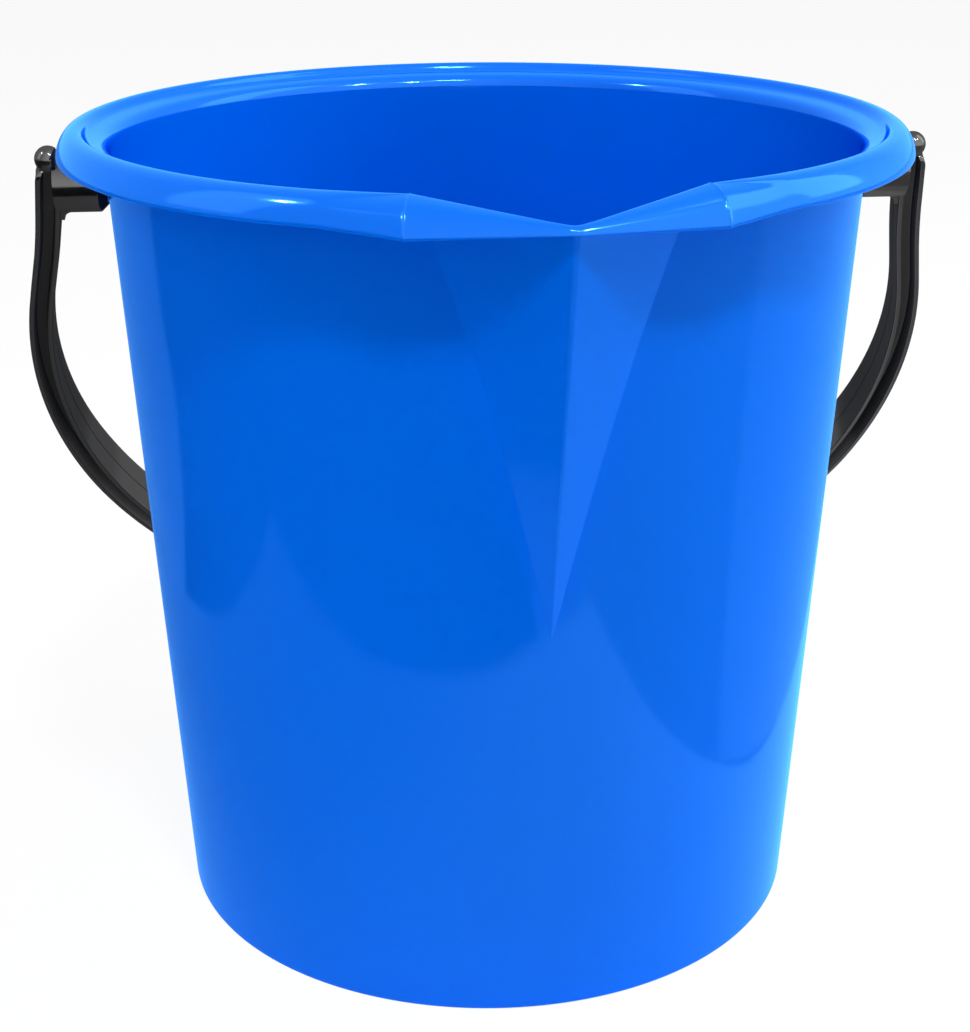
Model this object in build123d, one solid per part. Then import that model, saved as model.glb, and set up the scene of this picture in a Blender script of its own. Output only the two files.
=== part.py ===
from build123d import *
from build123d.topology import SkipClean
import os
from math import asin, atan, atan2, cos, degrees, hypot, radians, sin, tan

# A ten litre pouring bucket of moulded polypropylene with a bail that clips onto two pegs.
# Millimetres. The origin is on the floor under the middle of the bucket, +Z is up,
# the bail swings about an axis along X, and the spout looks towards -Y.

# Bucket body
bucket_height = 268.0         # floor to the crest of the rim
base_radius = 107.8           # outside of the wall where its cone meets the floor
mouth_radius = 122.4          # outside of the wall at the level of the lip
wall = 1.8                    # moulded thickness of wall and rim
floor_thickness = 2.2         # thickness of the base plate
foot_height = 5.0             # the base plate is held this far off the floor
foot_width = 3.0              # width of the ring that stands on the floor
foot_round = 0.9              # outer edge of that ring
inside_corner = 6.0           # round between the base plate and the wall

# Rolled rim
lip_reach = 14.8              # lip's edge beyond the wall at its level
skirt_height = 9.0            # crest to the lip's lower edge
lip_overhang = 6.8            # lip's edge beyond the crest
crest_round = 5.5             # round over the crest
funnel_slope = 24.0           # degrees the inner side of the rim falls to the mouth
shoulder_round = 3.0          # round where the mouth turns into the wall
shoulder_land = 0.5           # straight wall moulded with the rim under that round

# Pouring spout: two flat cheeks that meet in a keel
spout_turn = 4.9              # degrees the spout sits off square to the bail's axis
spout_seam = 18.0             # half angle of the spout at the rim, degrees
spout_ease = 28.5             # half angle where the rim starts to widen, degrees
spout_length = 127.0          # lip's lower edge down to where the keel leaves the wall
spout_root = 4.0              # the cheeks run on this far down inside the wall
cheek_spread = 1.2            # cheeks' length behind the tip, as a share of that to the seam
hollow_reach = 1.12           # length of the spout's hollow, as a share of the cheeks'
keel_reach = 5.3              # keel under the lip, beyond the lip's edge elsewhere
keel_round = 3.0              # round along the keel at its top
seam_reach = 3.4              # lip at the spout's two corners, beyond the lip elsewhere
seam_lip_drop = 1.6           # those corners hang lower than the lip
tip_reach = 5.0               # crest of the pouring lip, beyond the lip's edge elsewhere
tip_drop = 6.05               # crest at the tip below the crest of the rim
tip_round = 1.25              # round over the pouring lip
tip_overhang = 2.1            # pouring lip's edge beyond its crest
tip_skirt = 2.4               # height of the pouring lip
tip_wall = 0.9                # thickness of the pouring lip
tip_slope = 8.0               # degrees the pouring lip falls inwards
spout_fill = 18.0             # depth of the rim's blank behind its crest, cut away inside

# Bail pivots: a split peg on the wall snaps into a sleeve on the bail
sleeve_lip_gap = 1.5          # sleeve up to the lip's lower edge
peg_radius = 6.0
peg_barb = 0.5                # snap ring stands this much proud of the peg
peg_barb_length = 2.6
peg_slot = 1.8                # width of the slot that lets the tip close
peg_slot_depth = 9.0
peg_end_gap = 0.5             # peg tip to the bottom of the sleeve
running_clearance = 0.1       # peg to bore, on the radius
barb_clearance = 0.3          # snap ring to its chamber
sleeve_wall = 2.9
sleeve_gap = 0.5              # sleeve end to the bucket wall
sleeve_chamfer = 2.4
sleeve_fillet = 3.0           # fillet where the sleeve's underside runs into the arm
bore_chamfer = 1.2

# Bail: a hoop of I section, straight arms and a round grip
hoop_bulge = 11.0             # outside of the hoop beyond the arms at their pivots
hoop_drop = 80.0              # pivot axis to the hoop's centre
arm_lean = 11.1               # degrees each arm closes in towards its pivot
bail_depth = 8.0              # section across the hoop
flange = 2.0
web = 3.0
arm_width = 11.4              # section along the pivot's swing, at the heads
grip_width = 18.0             # the same at the grip
full_width_at = 144.0         # pivot axis to where the section has the grip's width
lip_gap = 0.8                 # arms to the rim's lip
head_reach = 7.3              # pivot axis to the centre of the head
head_radius = 5.2             # the head is a round button, its axis along the pivot's
head_stand = 1.2              # the button stands this much proud of the arm
head_round = 3.6              # round over the button's edge
grip_angle = 40.0             # degrees of the hoop that the grip covers
grip_swell = 1.0              # grip proud of the hoop inside and outside
grip_round = 3.6
wall_gap = 0.3                # hanging bail to the back of the bucket

# Cutting
overrun = 1.0                 # cutting shapes run this far past the face that they open

# Values worked out from the sizes above
lip_z = bucket_height - skirt_height
lip_radius = mouth_radius + lip_reach
crest_radius = lip_radius - lip_overhang
wall_rise = (mouth_radius - base_radius) / lip_z
wall_lean = degrees(atan(wall_rise))
floor_top = foot_height + floor_thickness
spout_foot = lip_z - spout_length
keel_radius = lip_radius + keel_reach
seam_lip_radius = lip_radius + seam_reach
tip_crest_radius = lip_radius + tip_reach
tip_lip_radius = tip_crest_radius + tip_overhang
sleeve_radius = peg_radius + running_clearance + sleeve_wall
axis_z = lip_z - sleeve_lip_gap - sleeve_radius
arm_inner = lip_radius + lip_gap
arm_outer = arm_inner + bail_depth
hoop_radius = arm_outer + hoop_bulge


def wall_outer(z):
    """Radius of the outside of the wall at a height."""
    return base_radius + wall_rise * z


def wall_inner(z):
    """Radius of the inside of the wall at a height."""
    return wall_outer(z) - wall


def polar(centre, radius, angle):
    """Point at an angle in degrees on a circle."""
    return (centre[0] + radius * cos(radians(angle)), centre[1] + radius * sin(radians(angle)))


def arc(centre, radius, start, end):
    """Arc of a circle between two angles in degrees."""
    return ThreePointArc(
        polar(centre, radius, start),
        polar(centre, radius, (start + end) / 2),
        polar(centre, radius, end),
    )


class RimSection:
    """Rounds of the rim in a plane through the axis: crest, skirt and inner slope."""

    def __init__(self, crest_r, crest_z, round_top, lip_r, lip_level, slope, thickness):
        self.slope = slope
        self.thickness = thickness
        self.lip = (lip_r, lip_level)
        self.crest_round = round_top
        self.crest_centre = (crest_r, crest_z - round_top)
        over = lip_r - crest_r
        drop = crest_z - lip_level
        self.skirt_round = (over**2 + drop**2 - 2 * drop * round_top) / (2 * (over - round_top))
        self.skirt_centre = (lip_r - self.skirt_round, lip_level)
        self.meet = degrees(
            atan2(
                self.crest_centre[1] - self.skirt_centre[1],
                self.crest_centre[0] - self.skirt_centre[0],
            )
        )

    def slope_point(self, depth, radius):
        """Point on the inner slope, a depth under its face, at a distance from the axis."""
        start = polar(self.crest_centre, self.crest_round - depth, 90 + self.slope)
        return (radius, start[1] - (start[0] - radius) * tan(radians(self.slope)))

    def blank(self, depth, below, inner):
        """Filled outline of the rim, a depth under its face, down to a level below the lip."""
        corner = (self.lip[0] - depth, self.lip[1])
        top = self.slope_point(depth, inner)
        turn = 90 + self.slope
        with BuildSketch() as sketch:
            with BuildLine():
                arc(self.skirt_centre, self.skirt_round - depth, 0, self.meet)
                arc(self.crest_centre, self.crest_round - depth, self.meet, turn)
                Line(polar(self.crest_centre, self.crest_round - depth, turn), top)
                Line(top, (inner, self.lip[1] - below))
                if below > 0:
                    Line((inner, self.lip[1] - below), (corner[0], corner[1] - below))
                    Line((corner[0], corner[1] - below), corner)
                else:
                    Line((inner, self.lip[1]), corner)
            make_face()
        return sketch.sketch.face()


ring_section = RimSection(
    crest_radius, bucket_height, crest_round, lip_radius, lip_z, funnel_slope, wall
)
seam_section = RimSection(
    crest_radius, bucket_height, crest_round, seam_lip_radius, lip_z - seam_lip_drop, funnel_slope, wall
)
tip_section = RimSection(
    tip_crest_radius,
    bucket_height - tip_drop,
    tip_round,
    tip_lip_radius,
    bucket_height - tip_drop - tip_skirt,
    tip_slope,
    tip_wall,
)


def shoulder_centre():
    """Centre of the round where the rim's inner slope turns down into the wall."""
    section = ring_section
    slope = radians(funnel_slope)
    rest = crest_round - shoulder_round
    r0 = section.crest_centre[0] - rest * sin(slope)
    z0 = section.crest_centre[1] + rest * cos(slope)
    stand_off = shoulder_round / cos(radians(wall_lean))
    along = (stand_off + wall_inner(z0) - r0) / (cos(slope) - wall_rise * sin(slope))
    return (r0 + along * cos(slope), z0 + along * sin(slope))


shoulder = shoulder_centre()
wall_top = polar(shoulder, shoulder_round, 180 - wall_lean)[1] - shoulder_land
sheet_middle = (
    ring_section.slope_point(0, wall_outer(wall_top))[1]
    + ring_section.slope_point(wall, wall_outer(wall_top))[1]
) / 2


def radial_plane(angle):
    """Plane through the axis, at an angle from the spout's middle: X is outwards, Y is up."""
    turn = radians(angle)
    return Plane(origin=(0, 0, 0), x_dir=(sin(turn), -cos(turn), 0), z_dir=(-cos(turn), -sin(turn), 0))


def turned(face, start, sweep):
    """Face from the radius-height plane turned about Z, angles from the spout's middle."""
    placed = radial_plane(start) * face
    return revolve(placed, axis=Axis.Z, revolution_arc=sweep)


def cone(inset, low, high):
    """Solid cone that follows the wall, an inset inside its outer face."""
    with BuildSketch() as sketch:
        Polygon(
            (0, low),
            (wall_outer(low) - inset, low),
            (wall_outer(high) - inset, high),
            (0, high),
            align=None,
        )
    return turned(sketch.sketch.face(), 180, 360)


def cup():
    """Wall and base plate up to the root of the rim, with the ring it stands on."""
    corner = (wall_inner(floor_top), floor_top)
    with BuildSketch() as sketch:
        with BuildLine():
            Polyline(
                (0, floor_top),
                corner,
                (wall_inner(wall_top), wall_top),
                (wall_outer(wall_top), wall_top),
                (base_radius, 0),
                (base_radius - foot_width, 0),
                (base_radius - foot_width, foot_height),
                (0, foot_height),
                (0, floor_top),
            )
        make_face()
        inner = sketch.vertices().sort_by_distance((corner[0], corner[1], 0))[0]
        outer = sketch.vertices().sort_by_distance((base_radius, 0, 0))[0]
        fillet(inner, inside_corner)
        fillet(outer, foot_round)
    return turned(sketch.sketch.face(), 180, 360)


def rim_ring():
    """Rolled rim round the bucket, open where the spout's rim is."""
    section = ring_section
    turn = 90 + funnel_slope
    upright = 180 - wall_lean
    with BuildSketch() as sketch:
        with BuildLine():
            for depth in (0, wall):
                arc(section.skirt_centre, section.skirt_round - depth, 0, section.meet)
                arc(section.crest_centre, section.crest_round - depth, section.meet, turn)
                Line(
                    polar(section.crest_centre, section.crest_round - depth, turn),
                    polar(shoulder, shoulder_round - depth, turn),
                )
                arc(shoulder, shoulder_round - depth, turn, upright)
            Line((lip_radius, lip_z), (lip_radius - wall, lip_z))
            Line(polar(shoulder, shoulder_round, upright), (wall_inner(wall_top), wall_top))
            Line(polar(shoulder, shoulder_round - wall, upright), (wall_outer(wall_top), wall_top))
            Line((wall_inner(wall_top), wall_top), (wall_outer(wall_top), wall_top))
        make_face()
    return turned(sketch.sketch.face(), spout_ease, 360 - 2 * spout_ease)


def between(section_a, angle_a, section_b, angle_b, depth_share, below):
    """Straight-ruled solid between two rim sections in planes through the axis."""
    faces = []
    for section, angle in ((section_a, angle_a), (section_b, angle_b)):
        inner = section.crest_centre[0] - spout_fill * section.crest_round / crest_round
        depth = depth_share * section.thickness
        faces.append(radial_plane(angle) * section.blank(depth, below, inner))
    return loft(faces, ruled=True)


def spout_rim():
    """Rim over the spout: it widens to two corners, then runs straight to the tip."""
    sheets = []
    for side in (1, -1):
        for first, start, second, end in (
            (ring_section, spout_ease, seam_section, spout_seam),
            (seam_section, spout_seam, tip_section, 0),
        ):
            outside = between(first, side * start, second, side * end, 0, 0)
            under = between(first, side * start, second, side * end, 1, overrun)
            sheets.append(outside - under)
    return sheets


def keel_point(z):
    """Point on the keel of the spout at a height."""
    root = Vector(0, -wall_outer(spout_foot), spout_foot)
    top = Vector(0, -keel_radius, lip_z)
    return root + (top - root) * ((z - spout_foot) / (lip_z - spout_foot))


def spout_wedge(reach):
    """Cheeks of the spout as a wedge that grows from a point on the wall."""
    root = keel_point(spout_foot - spout_root)
    tip_z = bucket_height - tip_drop - tip_wall / 2
    tip = keel_point(tip_z)
    seam = radians(spout_seam)
    seam_r = wall_outer(sheet_middle)
    corners = [tip]
    for side in (1, -1):
        edge = Vector(side * seam_r * sin(seam), -seam_r * cos(seam), sheet_middle)
        corners.append(tip + (edge - tip) * cheek_spread)
    corners = [root + (corner - root) * reach for corner in corners]
    top = Face(Wire.make_polygon(corners, close=True))
    nose = top.vertices().sort_by_distance(corners[0])[0]
    top = top.fillet_2d(keel_round * reach, [nose])
    return loft([top, Vertex(*root)])


def cheek_shift():
    """Distance the inside of the wedge lies behind its outside, for an even wall."""
    root = keel_point(spout_foot)
    tip = keel_point(lip_z)
    seam = radians(spout_seam)
    seam_r = wall_outer(sheet_middle)
    edge = Vector(seam_r * sin(seam), -seam_r * cos(seam), sheet_middle)
    normal = (tip - root).cross(edge - root).normalized()
    return wall / abs(normal.Y)


def collar():
    """Wall behind the spout's rim, from the cup up into the middle of the rim."""
    with BuildSketch() as sketch:
        Polygon(
            (wall_inner(wall_top), wall_top),
            (wall_outer(wall_top), wall_top),
            (wall_outer(sheet_middle), sheet_middle),
            (wall_inner(sheet_middle), sheet_middle),
            align=None,
        )
    return turned(sketch.sketch.face(), -spout_ease, 2 * spout_ease)


def spout_sector(height):
    """Slice of space between the spout's two seams, from the floor to a height."""
    half = radians(spout_seam)
    far_x = 2 * lip_radius * sin(half)
    far_y = -2 * lip_radius * cos(half)
    with BuildSketch() as sketch:
        Polygon((0, 0), (-far_x, far_y), (far_x, far_y), align=None)
    return extrude(sketch.sketch.face(), height)


def bucket_shell():
    """Cup, rim and spout as one moulding, with the spout still square to the axis."""
    over = bucket_height + skirt_height
    mouth = cone(wall, floor_top, over)
    shell = cup() + [rim_ring(), collar()]
    shell = shell + [sheet - mouth for sheet in spout_rim()]
    shell = shell + (spout_wedge(1) - cone(wall / 2, 0, over))
    hollow = Pos(0, cheek_shift(), 0) * spout_wedge(hollow_reach)
    return shell - (hollow & spout_sector(over))


def peg(side):
    """Split snap peg on the wall, on the bail's axis."""
    root = wall_outer(axis_z) - wall / 2
    tip = arm_inner - peg_end_gap
    barb = tip - peg_barb_length
    with BuildSketch(Plane.XZ) as sketch:
        Polygon(
            (root, 0),
            (root, peg_radius),
            (barb, peg_radius),
            (barb + peg_barb, peg_radius + peg_barb),
            (tip - peg_barb_length / 3, peg_radius + peg_barb),
            (tip, peg_radius - peg_barb),
            (tip, 0),
            align=None,
        )
    solid = revolve(sketch.sketch.face(), axis=Axis.X, revolution_arc=360)
    slot = Pos(tip, 0, 0) * Box(2 * peg_slot_depth, 4 * peg_radius, peg_slot)
    solid = solid - slot
    solid = Pos(0, 0, axis_z) * solid
    return solid if side > 0 else mirror(solid, about=Plane.YZ)


def bucket_body():
    """The blue moulding: shell with its spout turned, and the two pegs.

    Faces that lie in line stay apart, because joining them spoils the shell at some sizes.
    """
    with SkipClean():
        body = Rot(0, 0, spout_turn) * bucket_shell()
        for side in (1, -1):
            body = body + peg(side)
    return body


def hang_angle():
    """Lean of the hanging bail from straight down, with the grip against the back wall."""
    reach = hoop_drop + hoop_radius - bail_depth - grip_swell
    half = grip_width / 2
    side = reach + wall_rise * half
    across = wall_rise * reach - half
    limit = base_radius + wall_rise * axis_z + wall_gap
    return degrees(asin(limit / hypot(side, across)) - atan2(across, side))


def hoop_band(outer_inset, inner_inset, half_width):
    """Slice of the hoop between two insets, as thick as asked both ways from its middle plane."""
    lean = radians(arm_lean)
    top = -head_reach
    with BuildSketch() as sketch:
        with BuildLine():
            for inset in (outer_inset, inner_inset):
                radius = hoop_radius - inset
                turn_x = radius * cos(lean)
                turn_s = hoop_drop - radius * sin(lean)
                arm_x = arm_outer - inset
                knee_s = turn_s - (turn_x - arm_x) / tan(lean)
                for side in (1, -1):
                    Polyline((side * arm_x, top), (side * arm_x, knee_s), (side * turn_x, turn_s))
                ThreePointArc((-turn_x, turn_s), (0, hoop_drop + radius), (turn_x, turn_s))
            for side in (1, -1):
                Line((side * (arm_outer - outer_inset), top), (side * (arm_outer - inner_inset), top))
        make_face()
    return extrude(sketch.sketch.face(), half_width, both=True)


def width_block():
    """Side view of the bail: narrow at the heads, full width at the grip."""
    narrow = arm_width / 2
    wide = grip_width / 2
    end = hoop_drop + 2 * hoop_radius
    with BuildSketch(Plane.YZ) as sketch:
        Polygon(
            (-head_reach, -head_radius),
            (peg_radius, -narrow),
            (full_width_at, -wide),
            (end, -wide),
            (end, wide),
            (full_width_at, wide),
            (peg_radius, narrow),
            (-head_reach, head_radius),
            align=None,
        )
    return extrude(sketch.sketch.face(), 2 * hoop_radius, both=True)


def head(side):
    """Round button at the end of an arm, past the pivot."""
    crown = arm_outer + head_stand
    with BuildSketch(Plane.XZ) as sketch:
        Polygon((arm_inner, 0), (arm_inner, head_radius), (crown, head_radius), (crown, 0), align=None)
        edge = sketch.vertices().sort_by_distance((crown, head_radius, 0))[0]
        fillet(edge, head_round)
    solid = revolve(sketch.sketch.face(), axis=Axis.X, revolution_arc=360)
    solid = Pos(0, -head_reach, 0) * solid
    return solid if side > 0 else mirror(solid, about=Plane.YZ)


def sleeve(side):
    """Sleeve that reaches in under the rim, before it is bored."""
    start = wall_outer(axis_z + sleeve_radius) + sleeve_gap
    end = arm_inner + flange / 2
    with BuildSketch(Plane.XZ) as sketch:
        Polygon(
            (start, 0),
            (start, sleeve_radius - sleeve_chamfer),
            (start + sleeve_chamfer, sleeve_radius),
            (end, sleeve_radius),
            (end, 0),
            align=None,
        )
    solid = revolve(sketch.sketch.face(), axis=Axis.X, revolution_arc=360)
    return solid if side > 0 else mirror(solid, about=Plane.YZ)


def sleeve_gusset(side):
    """Fillet round the underside of the sleeve, as wide as the arm that it runs into."""
    root = arm_inner + flange / 2
    foot = sleeve_radius + sleeve_fillet
    centre = (arm_inner - sleeve_fillet, foot)
    with BuildSketch() as sketch:
        with BuildLine():
            arc(centre, sleeve_fillet, -90, 0)
            Polyline(
                (arm_inner, foot),
                (root, foot),
                (root, peg_radius),
                (arm_inner - sleeve_fillet, peg_radius),
                (arm_inner - sleeve_fillet, sleeve_radius),
            )
        make_face()
    ring = revolve(sketch.sketch.face(), axis=Axis.X, revolution_arc=360)
    solid = ring & Pos(arm_inner, foot / 2, 0) * Box(4 * sleeve_fillet, foot, arm_width)
    return solid if side > 0 else mirror(solid, about=Plane.YZ)


def sleeve_bore(side):
    """Bore for the peg, with a lead-in and a chamber for the snap ring."""
    start = wall_outer(axis_z + sleeve_radius) + sleeve_gap
    bore = peg_radius + running_clearance
    chamber = peg_radius + peg_barb + barb_clearance
    step = arm_inner - peg_end_gap - peg_barb_length - barb_clearance
    with BuildSketch(Plane.XZ) as sketch:
        Polygon(
            (start - overrun, 0),
            (start - overrun, bore + bore_chamfer + overrun),
            (start + bore_chamfer, bore),
            (step, bore),
            (step, chamber),
            (arm_inner, chamber),
            (arm_inner, 0),
            align=None,
        )
    solid = revolve(sketch.sketch.face(), axis=Axis.X, revolution_arc=360)
    return solid if side > 0 else mirror(solid, about=Plane.YZ)


def along_grip(depth, width, corner):
    """Bar with rounded corners that follows the hoop over the grip's stretch."""
    middle = hoop_radius - bail_depth / 2
    with BuildSketch(Plane.XZ) as sketch:
        with Locations((middle, 0)):
            RectangleRounded(depth, width, corner)
    start = Rot(0, 0, 90 - grip_angle / 2) * sketch.sketch.face()
    return Pos(0, hoop_drop, 0) * revolve(start, axis=Axis.Z, revolution_arc=grip_angle)


def bail_handle():
    """The black moulding, hung behind the bucket."""
    most = grip_width
    hoop = hoop_band(0, flange, most)
    hoop = hoop + hoop_band(flange / 2, bail_depth - flange / 2, web / 2)
    hoop = hoop + hoop_band(bail_depth - flange, bail_depth, most)
    hoop = hoop & width_block()
    room = along_grip(2 * bail_depth, 2 * grip_width, grip_round)
    bail = hoop - room + along_grip(bail_depth + 2 * grip_swell, grip_width, grip_round)
    for side in (1, -1):
        bail = bail + head(side) + sleeve(side) + sleeve_gusset(side)
    for side in (1, -1):
        bail = bail - sleeve_bore(side)
    lean = radians(hang_angle())
    plane = Plane(origin=(0, 0, axis_z), x_dir=(1, 0, 0), z_dir=(0, cos(lean), sin(lean)))
    return plane.location * bail


os.makedirs("parts", exist_ok=True)
for node, shape in (("bucket_body", bucket_body()), ("bail_handle", bail_handle())):
    export_step(shape, f"parts/{node}.step")
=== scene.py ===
"""Looks of a ten litre pouring bucket: a blue moulded body with a folded spout, and a black bail."""

import logging
from dataclasses import dataclass, replace
from enum import Enum
from math import acos, atan2, cos, degrees, hypot, pi, radians, sin, sqrt, tan
from typing import Sequence

import bmesh
import bpy
import numpy as np
from mathutils import Matrix, Vector


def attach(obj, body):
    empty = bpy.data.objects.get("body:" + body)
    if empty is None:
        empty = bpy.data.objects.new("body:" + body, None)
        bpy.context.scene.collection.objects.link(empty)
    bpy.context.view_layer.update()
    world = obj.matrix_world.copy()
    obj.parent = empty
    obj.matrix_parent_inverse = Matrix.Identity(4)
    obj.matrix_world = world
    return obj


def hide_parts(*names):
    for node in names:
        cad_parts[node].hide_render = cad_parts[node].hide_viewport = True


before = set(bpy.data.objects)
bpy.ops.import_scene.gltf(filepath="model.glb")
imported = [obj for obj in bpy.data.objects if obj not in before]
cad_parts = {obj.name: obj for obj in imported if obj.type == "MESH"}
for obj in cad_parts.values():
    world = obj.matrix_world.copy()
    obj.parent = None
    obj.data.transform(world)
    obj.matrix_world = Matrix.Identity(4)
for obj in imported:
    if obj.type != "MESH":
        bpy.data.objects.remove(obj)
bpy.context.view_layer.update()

LOG = logging.getLogger("bucket")
MM = 0.001
# Points of a joined mesh that lie nearer than this become one, in millimetres.
WELD = 0.002
# Radius of a point that stands for one on the axis, in millimetres. A smaller one counts as zero.
ON_AXIS = 0.01
WHITE = "#ffffff"
# Inputs of a node that maps one range to another.
RANGE = ("From Min", "From Max", "To Min", "To Max")
Pair = tuple[float, float]
Point = tuple[float, float]
Place = tuple[float, float, float]


class Body(str, Enum):
    """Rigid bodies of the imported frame."""

    BUCKET = "bucket"
    BAIL = "bail"


class Side(int, Enum):
    """The two ends of the pivot axis."""

    RIGHT = 1
    LEFT = -1


class Skin(Enum):
    """The two faces of the bucket's wall."""

    OUTER = "outer"
    INNER = "inner"


class Stretch(Enum):
    """Stretches of the rim round the bucket."""

    RING = "ring"
    EASE = "ease"
    CHEEK = "cheek"


class Joining(str, Enum):
    """Ways to combine two solids."""

    UNION = "UNION"
    DIFFERENCE = "DIFFERENCE"
    INTERSECT = "INTERSECT"


def polar(centre: Point, radius: float, angle: float) -> Point:
    """Point on a circle, at an angle in degrees."""
    return (centre[0] + radius * cos(radians(angle)), centre[1] + radius * sin(radians(angle)))


def arc(centre: Point, radius: float, start: float, end: float, steps: int) -> np.ndarray:
    """Points along an arc, one a row, between two angles in degrees."""
    return np.array([polar(centre, radius, start + (end - start) * i / steps) for i in range(steps + 1)])


def smoothstep(value: float) -> float:
    """Eases a share from 0 to 1, with level ends."""
    share = min(max(value, 0.0), 1.0)
    return share * share * (3 - 2 * share)


def rounded(corners: Sequence[Point], cuts: Sequence[float], steps: int, closed: bool = False) -> np.ndarray:
    """Rounds the corners of a path.

    Args:
        corners: Corner points in order.
        cuts: How far each round reaches from its corner. Zero keeps the point as it is.
        steps: Pieces in each round.
        closed: Whether the last corner joins the first.

    Returns:
        The path's points as rows.
    """
    rows = []
    count = len(corners)
    for index, (corner, cut) in enumerate(zip(corners, cuts)):
        here = np.array(corner, float)
        if cut == 0 or (not closed and index in (0, count - 1)):
            rows.append(here)
            continue
        before = np.array(corners[index - 1], float) - here
        after = np.array(corners[(index + 1) % count], float) - here
        first = here + before / np.linalg.norm(before) * cut
        last = here + after / np.linalg.norm(after) * cut
        for step in range(steps + 1):
            t = step / steps
            rows.append((1 - t) ** 2 * first + 2 * t * (1 - t) * here + t**2 * last)
    return np.array(rows)


def grid_faces(index: np.ndarray) -> list[list[int]]:
    """Makes faces from a table of point numbers, in which points may be shared.

    Args:
        index: Point numbers, one row per profile point, one column per station. The last column
            joins the first.

    Returns:
        Corner numbers of each face that has an area.
    """
    faces = []
    rows, columns = index.shape
    for i in range(rows - 1):
        for j in range(columns):
            k = (j + 1) % columns
            loop = (index[i, j], index[i, k], index[i + 1, k], index[i + 1, j])
            corners = [int(n) for p, n in enumerate(loop) if n != loop[p - 1]]
            if len(set(corners)) == len(corners) and len(corners) > 2:
                faces.append(corners)
    return faces


def add_object(name: str, vertices: np.ndarray, faces: Sequence[Sequence[int]]) -> bpy.types.Object:
    """Makes a closed mesh object with its faces turned outwards.

    Args:
        name: Name of the piece.
        vertices: Corner points in millimetres, one a row.
        faces: Corner numbers of each face.

    Returns:
        The new object, linked to the scene.
    """
    mesh = bpy.data.meshes.new(name)
    mesh.from_pydata((np.asarray(vertices) * MM).tolist(), [], [list(face) for face in faces])
    work = bmesh.new()
    work.from_mesh(mesh)
    bmesh.ops.recalc_face_normals(work, faces=work.faces)
    work.to_mesh(mesh)
    work.free()
    piece = bpy.data.objects.new(name, mesh)
    bpy.context.scene.collection.objects.link(piece)
    return piece


def lathe(name: str, profile: Sequence[Point], side: Side, steps: int) -> bpy.types.Object:
    """Turns an outline about the X axis.

    Args:
        name: Name of the piece.
        profile: Distance along the axis and radius of each point. Its ends lie on the axis or meet.
        side: End of the axis that the piece is on.
        steps: Stations round the axis.

    Returns:
        The turned piece.
    """
    vertices: list[Place] = []
    index = np.zeros((len(profile), steps), int)
    for i, (along, radius) in enumerate(profile):
        for j in range(steps):
            if radius < ON_AXIS and j > 0:
                index[i, j] = index[i, 0]
                continue
            spin = 2 * pi * j / steps
            index[i, j] = len(vertices)
            vertices.append((side * along, radius * cos(spin), radius * sin(spin)))
    return add_object(name, np.array(vertices), grid_faces(index))


def block(name: str, centre: Place, size: Place) -> bpy.types.Object:
    """Makes a box.

    Args:
        name: Name of the piece.
        centre: Its middle in millimetres.
        size: Its length along each axis.

    Returns:
        The box.
    """
    ends = [(i, j, k) for i in (-1, 1) for j in (-1, 1) for k in (-1, 1)]
    corners = np.array(centre) + np.array(ends) * np.array(size) / 2
    sides = [(0, 1, 3, 2), (4, 5, 7, 6), (0, 1, 5, 4), (2, 3, 7, 6), (0, 2, 6, 4), (1, 3, 7, 5)]
    return add_object(name, corners, sides)


def combine(target: bpy.types.Object, tool: bpy.types.Object, joining: Joining) -> None:
    """Combines a piece with another by an exact boolean, welds the result and drops the tool.

    Args:
        target: Piece that stays.
        tool: Piece that is used up.
        joining: How they combine.
    """
    modifier = target.modifiers.new(joining.value, "BOOLEAN")
    modifier.operation = joining.value
    modifier.solver = "EXACT"
    modifier.object = tool
    bpy.context.view_layer.update()
    solid = target.evaluated_get(bpy.context.evaluated_depsgraph_get())
    mesh = bpy.data.meshes.new_from_object(solid)
    work = bmesh.new()
    work.from_mesh(mesh)
    bmesh.ops.remove_doubles(work, verts=work.verts, dist=WELD * MM)
    bmesh.ops.dissolve_degenerate(work, edges=work.edges, dist=WELD * MM)
    work.to_mesh(mesh)
    work.free()
    target.modifiers.clear()
    target.data = mesh
    bpy.data.objects.remove(tool)


def coat(piece: bpy.types.Object, material: bpy.types.Material, sharp_angle: float) -> None:
    """Gives a piece its material, and keeps broad faces flat to the eye beside their narrow rounds.

    Args:
        piece: The piece.
        material: Its material.
        sharp_angle: Edges over this angle in degrees stay sharp.
    """
    piece.data.materials.clear()
    piece.data.materials.append(material)
    piece.data.shade_smooth()
    piece.data.set_sharp_from_angle(angle=radians(sharp_angle))
    modifier = piece.modifiers.new("even normals", "WEIGHTED_NORMAL")
    modifier.keep_sharp = True


def linear(colour: str) -> tuple[float, float, float, float]:
    """Turns an sRGB hex value into linear light.

    Args:
        colour: Six hex digits after a hash.

    Returns:
        Red, green, blue and an alpha of one.
    """
    values = []
    for start in (1, 3, 5):
        share = int(colour[start : start + 2], 16) / 255
        values.append(share / 12.92 if share <= 0.04045 else ((share + 0.055) / 1.055) ** 2.4)
    return (values[0], values[1], values[2], 1.0)


def bare_tree(owner: bpy.types.Material | bpy.types.World) -> bpy.types.NodeTree:
    """Turns on the nodes of a material or world, and clears them.

    Args:
        owner: What the nodes belong to.

    Returns:
        The empty node tree.
    """
    owner.use_nodes = True
    owner.node_tree.nodes.clear()
    return owner.node_tree


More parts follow.
